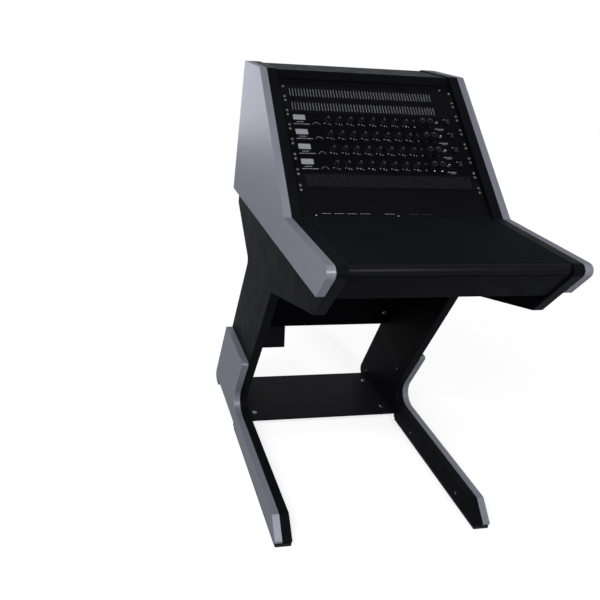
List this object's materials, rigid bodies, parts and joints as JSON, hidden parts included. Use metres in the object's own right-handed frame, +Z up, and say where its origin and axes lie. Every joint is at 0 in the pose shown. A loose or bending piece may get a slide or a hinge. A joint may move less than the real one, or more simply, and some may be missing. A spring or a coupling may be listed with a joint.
{
  "type": "studio rack sidecar",
  "caption": "Free-standing desk sidecar with a worktop and a sloping 19-inch rack bay over two shaped legs.",
  "frame": {"origin": "centre of the footprint on the floor", "axes": "+X across the width to the right, +Y from the front to the back, +Z up"},
  "size_m": [0.5765, 0.7896, 1.052],
  "materials": {
    "black_laminate": "fine-textured black laminate on board",
    "silver_cladding": "brushed silver-grey metallic laminate on board",
    "black_steel": "black powder-coated sheet steel",
    "zinc_rail": "zinc-plated rack rail",
    "vent_black": "black painted panel",
    "faceplate_black": "black anodised faceplate on a sheet chassis",
    "knob_black": "black moulded knob",
    "pad_rubber": "black rubber pad"
  },
  "bodies": {
    "console": {"back_panel": "black_laminate", "base_plate": "black_steel", "blank_panel": "vent_black", "bottom_panel": "black_laminate", "cable_box": "black_steel", "channel_unit_1": "faceplate_black", "channel_unit_2": "faceplate_black", "channel_unit_3": "faceplate_black", "channel_unit_4": "faceplate_black", "fine_vent_panel": "vent_black", "foot_pad_left": "pad_rubber", "foot_pad_right": "pad_rubber", "front_apron": "black_laminate", "lower_cladding_left": "silver_cladding", "lower_cladding_right": "silver_cladding", "modesty_panel": "black_laminate", "rack_rail_left": "zinc_rail", "rack_rail_right": "zinc_rail", "side_panel_left": "black_laminate", "side_panel_right": "black_laminate", "top_fascia": "black_laminate", "top_lid": "black_laminate", "upper_cladding_left": "silver_cladding", "upper_cladding_right": "silver_cladding", "vent_panel_lower": "vent_black", "vent_panel_upper": "vent_black", "worktop": "black_laminate"},
    "knob_1_1_body": {"knob_1_1": "knob_black"},
    "knob_1_2_body": {"knob_1_2": "knob_black"},
    "knob_1_3_body": {"knob_1_3": "knob_black"},
    "knob_1_4_body": {"knob_1_4": "knob_black"},
    "knob_1_5_body": {"knob_1_5": "knob_black"},
    "knob_1_6_body": {"knob_1_6": "knob_black"},
    "knob_1_7_body": {"knob_1_7": "knob_black"},
    "knob_1_8_body": {"knob_1_8": "knob_black"},
    "knob_2_1_body": {"knob_2_1": "knob_black"},
    "knob_2_2_body": {"knob_2_2": "knob_black"},
    "knob_2_3_body": {"knob_2_3": "knob_black"},
    "knob_2_4_body": {"knob_2_4": "knob_black"},
    "knob_2_5_body": {"knob_2_5": "knob_black"},
    "knob_2_6_body": {"knob_2_6": "knob_black"},
    "knob_2_7_body": {"knob_2_7": "knob_black"},
    "knob_2_8_body": {"knob_2_8": "knob_black"},
    "knob_3_1_body": {"knob_3_1": "knob_black"},
    "knob_3_2_body": {"knob_3_2": "knob_black"},
    "knob_3_3_body": {"knob_3_3": "knob_black"},
    "knob_3_4_body": {"knob_3_4": "knob_black"},
    "knob_3_5_body": {"knob_3_5": "knob_black"},
    "knob_3_6_body": {"knob_3_6": "knob_black"},
    "knob_3_7_body": {"knob_3_7": "knob_black"},
    "knob_3_8_body": {"knob_3_8": "knob_black"},
    "knob_4_1_body": {"knob_4_1": "knob_black"},
    "knob_4_2_body": {"knob_4_2": "knob_black"},
    "knob_4_3_body": {"knob_4_3": "knob_black"},
    "knob_4_4_body": {"knob_4_4": "knob_black"},
    "knob_4_5_body": {"knob_4_5": "knob_black"},
    "knob_4_6_body": {"knob_4_6": "knob_black"},
    "knob_4_7_body": {"knob_4_7": "knob_black"},
    "knob_4_8_body": {"knob_4_8": "knob_black"}
  },
  "joints": [
    {"name": "knob_1_1_turn", "type": "hinge", "parent": "console", "child": "knob_1_1_body", "pos_m": [-0.131, 0.11245, 0.94446], "axis": [0, -0.6523, 0.758], "range_deg": [-150, 150]},
    {"name": "knob_1_2_turn", "type": "hinge", "parent": "console", "child": "knob_1_2_body", "pos_m": [-0.1007, 0.11245, 0.94446], "axis": [0, -0.6523, 0.758], "range_deg": [-150, 150]},
    {"name": "knob_1_3_turn", "type": "hinge", "parent": "console", "child": "knob_1_3_body", "pos_m": [-0.0704, 0.11245, 0.94446], "axis": [0, -0.6523, 0.758], "range_deg": [-150, 150]},
    {"name": "knob_1_4_turn", "type": "hinge", "parent": "console", "child": "knob_1_4_body", "pos_m": [-0.0401, 0.11245, 0.94446], "axis": [0, -0.6523, 0.758], "range_deg": [-150, 150]},
    {"name": "knob_1_5_turn", "type": "hinge", "parent": "console", "child": "knob_1_5_body", "pos_m": [-0.0098, 0.11245, 0.94446], "axis": [0, -0.6523, 0.758], "range_deg": [-150, 150]},
    {"name": "knob_1_6_turn", "type": "hinge", "parent": "console", "child": "knob_1_6_body", "pos_m": [0.0205, 0.11245, 0.94446], "axis": [0, -0.6523, 0.758], "range_deg": [-150, 150]},
    {"name": "knob_1_7_turn", "type": "hinge", "parent": "console", "child": "knob_1_7_body", "pos_m": [0.0508, 0.11245, 0.94446], "axis": [0, -0.6523, 0.758], "range_deg": [-150, 150]},
    {"name": "knob_1_8_turn", "type": "hinge", "parent": "console", "child": "knob_1_8_body", "pos_m": [0.0811, 0.11245, 0.94446], "axis": [0, -0.6523, 0.758], "range_deg": [-150, 150]},
    {"name": "knob_2_1_turn", "type": "hinge", "parent": "console", "child": "knob_2_1_body", "pos_m": [-0.131, 0.07876, 0.91546], "axis": [0, -0.6523, 0.758], "range_deg": [-150, 150]},
    {"name": "knob_2_2_turn", "type": "hinge", "parent": "console", "child": "knob_2_2_body", "pos_m": [-0.1007, 0.07876, 0.91546], "axis": [0, -0.6523, 0.758], "range_deg": [-150, 150]},
    {"name": "knob_2_3_turn", "type": "hinge", "parent": "console", "child": "knob_2_3_body", "pos_m": [-0.0704, 0.07876, 0.91546], "axis": [0, -0.6523, 0.758], "range_deg": [-150, 150]},
    {"name": "knob_2_4_turn", "type": "hinge", "parent": "console", "child": "knob_2_4_body", "pos_m": [-0.0401, 0.07876, 0.91546], "axis": [0, -0.6523, 0.758], "range_deg": [-150, 150]},
    {"name": "knob_2_5_turn", "type": "hinge", "parent": "console", "child": "knob_2_5_body", "pos_m": [-0.0098, 0.07876, 0.91546], "axis": [0, -0.6523, 0.758], "range_deg": [-150, 150]},
    {"name": "knob_2_6_turn", "type": "hinge", "parent": "console", "child": "knob_2_6_body", "pos_m": [0.0205, 0.07876, 0.91546], "axis": [0, -0.6523, 0.758], "range_deg": [-150, 150]},
    {"name": "knob_2_7_turn", "type": "hinge", "parent": "console", "child": "knob_2_7_body", "pos_m": [0.0508, 0.07876, 0.91546], "axis": [0, -0.6523, 0.758], "range_deg": [-150, 150]},
    {"name": "knob_2_8_turn", "type": "hinge", "parent": "console", "child": "knob_2_8_body", "pos_m": [0.0811, 0.07876, 0.91546], "axis": [0, -0.6523, 0.758], "range_deg": [-150, 150]},
    {"name": "knob_3_1_turn", "type": "hinge", "parent": "console", "child": "knob_3_1_body", "pos_m": [-0.131, 0.04507, 0.88647], "axis": [0, -0.6523, 0.758], "range_deg": [-150, 150]},
    {"name": "knob_3_2_turn", "type": "hinge", "parent": "console", "child": "knob_3_2_body", "pos_m": [-0.1007, 0.04507, 0.88647], "axis": [0, -0.6523, 0.758], "range_deg": [-150, 150]},
    {"name": "knob_3_3_turn", "type": "hinge", "parent": "console", "child": "knob_3_3_body", "pos_m": [-0.0704, 0.04507, 0.88647], "axis": [0, -0.6523, 0.758], "range_deg": [-150, 150]},
    {"name": "knob_3_4_turn", "type": "hinge", "parent": "console", "child": "knob_3_4_body", "pos_m": [-0.0401, 0.04507, 0.88647], "axis": [0, -0.6523, 0.758], "range_deg": [-150, 150]},
    {"name": "knob_3_5_turn", "type": "hinge", "parent": "console", "child": "knob_3_5_body", "pos_m": [-0.0098, 0.04507, 0.88647], "axis": [0, -0.6523, 0.758], "range_deg": [-150, 150]},
    {"name": "knob_3_6_turn", "type": "hinge", "parent": "console", "child": "knob_3_6_body", "pos_m": [0.0205, 0.04507, 0.88647], "axis": [0, -0.6523, 0.758], "range_deg": [-150, 150]},
    {"name": "knob_3_7_turn", "type": "hinge", "parent": "console", "child": "knob_3_7_body", "pos_m": [0.0508, 0.04507, 0.88647], "axis": [0, -0.6523, 0.758], "range_deg": [-150, 150]},
    {"name": "knob_3_8_turn", "type": "hinge", "parent": "console", "child": "knob_3_8_body", "pos_m": [0.0811, 0.04507, 0.88647], "axis": [0, -0.6523, 0.758], "range_deg": [-150, 150]},
    {"name": "knob_4_1_turn", "type": "hinge", "parent": "console", "child": "knob_4_1_body", "pos_m": [-0.131, 0.01138, 0.85748], "axis": [0, -0.6523, 0.758], "range_deg": [-150, 150]},
    {"name": "knob_4_2_turn", "type": "hinge", "parent": "console", "child": "knob_4_2_body", "pos_m": [-0.1007, 0.01138, 0.85748], "axis": [0, -0.6523, 0.758], "range_deg": [-150, 150]},
    {"name": "knob_4_3_turn", "type": "hinge", "parent": "console", "child": "knob_4_3_body", "pos_m": [-0.0704, 0.01138, 0.85748], "axis": [0, -0.6523, 0.758], "range_deg": [-150, 150]},
    {"name": "knob_4_4_turn", "type": "hinge", "parent": "console", "child": "knob_4_4_body", "pos_m": [-0.0401, 0.01138, 0.85748], "axis": [0, -0.6523, 0.758], "range_deg": [-150, 150]},
    {"name": "knob_4_5_turn", "type": "hinge", "parent": "console", "child": "knob_4_5_body", "pos_m": [-0.0098, 0.01138, 0.85748], "axis": [0, -0.6523, 0.758], "range_deg": [-150, 150]},
    {"name": "knob_4_6_turn", "type": "hinge", "parent": "console", "child": "knob_4_6_body", "pos_m": [0.0205, 0.01138, 0.85748], "axis": [0, -0.6523, 0.758], "range_deg": [-150, 150]},
    {"name": "knob_4_7_turn", "type": "hinge", "parent": "console", "child": "knob_4_7_body", "pos_m": [0.0508, 0.01138, 0.85748], "axis": [0, -0.6523, 0.758], "range_deg": [-150, 150]},
    {"name": "knob_4_8_turn", "type": "hinge", "parent": "console", "child": "knob_4_8_body", "pos_m": [0.0811, 0.01138, 0.85748], "axis": [0, -0.6523, 0.758], "range_deg": [-150, 150]}
  ]
}
